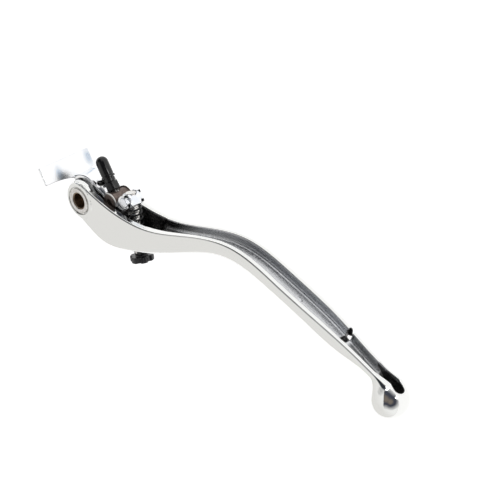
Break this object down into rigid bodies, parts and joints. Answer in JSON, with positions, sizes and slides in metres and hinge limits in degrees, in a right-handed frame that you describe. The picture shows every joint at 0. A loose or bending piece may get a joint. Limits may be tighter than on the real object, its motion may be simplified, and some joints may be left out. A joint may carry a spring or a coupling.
{
  "type": "hand lever with reach adjuster",
  "caption": "Long curved aluminium hand lever with a ball end, a channel on its rear, a pivoted link with a stop plate, a swivelling push rod and a lobed reach-adjuster knob.",
  "frame": {"origin": "centre of the pivot bore, halfway through the lever's thickness", "axes": "+Z along the pivot, +X towards the ball end, +Y towards the grip, the side on which the lever's channel is open"},
  "size_m": [0.2149, 0.0427, 0.031],
  "materials": {
    "cast_aluminium": "polished",
    "steel": "ground",
    "bronze": "porous sintered bronze",
    "zinc_plate": "bright zinc plating",
    "brown_steel": "brown phosphate",
    "black_steel": "black oxide",
    "spring_steel": "blackened wire",
    "rubber": "smooth moulded",
    "black_plastic": "fine texture"
  },
  "bodies": {
    "lever": {"lever_body": "cast_aluminium", "pivot_sleeve": "steel", "pivot_bushing": "bronze", "thrust_washers": "steel", "adjuster_spring": "spring_steel", "spring_seat": "steel", "knob_washer": "steel"},
    "link": {"link_bracket": "zinc_plate", "link_bushing": "steel"},
    "trunnion": {"trunnion": "brown_steel", "trunnion_clips": "brown_steel"},
    "locknut": {"pushrod_locknut": "black_steel"},
    "pushrod": {"pushrod": "steel", "pushrod_collar": "black_steel", "dust_cap": "rubber"},
    "nut": {"adjuster_nut": "zinc_plate"},
    "knob": {"adjuster_knob": "black_plastic", "adjuster_screw": "steel", "knob_pin": "steel", "screw_o_ring": "rubber"}
  },
  "joints": [
    {"name": "knob_turn", "type": "hinge", "parent": "lever", "child": "knob", "pos_m": [0.0248, 0.0098, 0], "axis": [-0.3173, 0.9483, 0], "range_deg": [0, 966]},
    {"name": "link_swing", "type": "hinge", "parent": "lever", "child": "link", "pos_m": [0, 0, 0], "axis": [0, 0, 1], "range_deg": [-4.6, 0], "deforming": ["adjuster_spring"]},
    {"name": "nut_swivel", "type": "hinge", "parent": "link", "child": "nut", "pos_m": [0.0248, 0.0098, 0], "axis": [0, 0, 1], "range_deg": [0, 4.6]},
    {"name": "trunnion_swivel", "type": "hinge", "parent": "link", "child": "trunnion", "pos_m": [0.0159, 0.0057, 0], "axis": [0, 0, 1], "range_deg": [-20, 4]},
    {"name": "pushrod_turn", "type": "hinge", "parent": "trunnion", "child": "locknut", "pos_m": [0.0159, 0.0057, 0], "axis": [-0.6561, 0.7547, 0], "range_deg": [0, 722]},
    {"name": "pushrod_travel", "type": "slide", "parent": "locknut", "child": "pushrod", "axis": [-0.6561, 0.7547, 0], "range_m": [0, 0.002]}
  ],
  "couplings": [
    {"joint": "knob_turn", "follows": "link_swing", "ratio": -209.5},
    {"joint": "nut_swivel", "follows": "link_swing", "ratio": -1},
    {"joint": "pushrod_turn", "follows": "pushrod_travel", "rad_per_m": 6283.2}
  ]
}
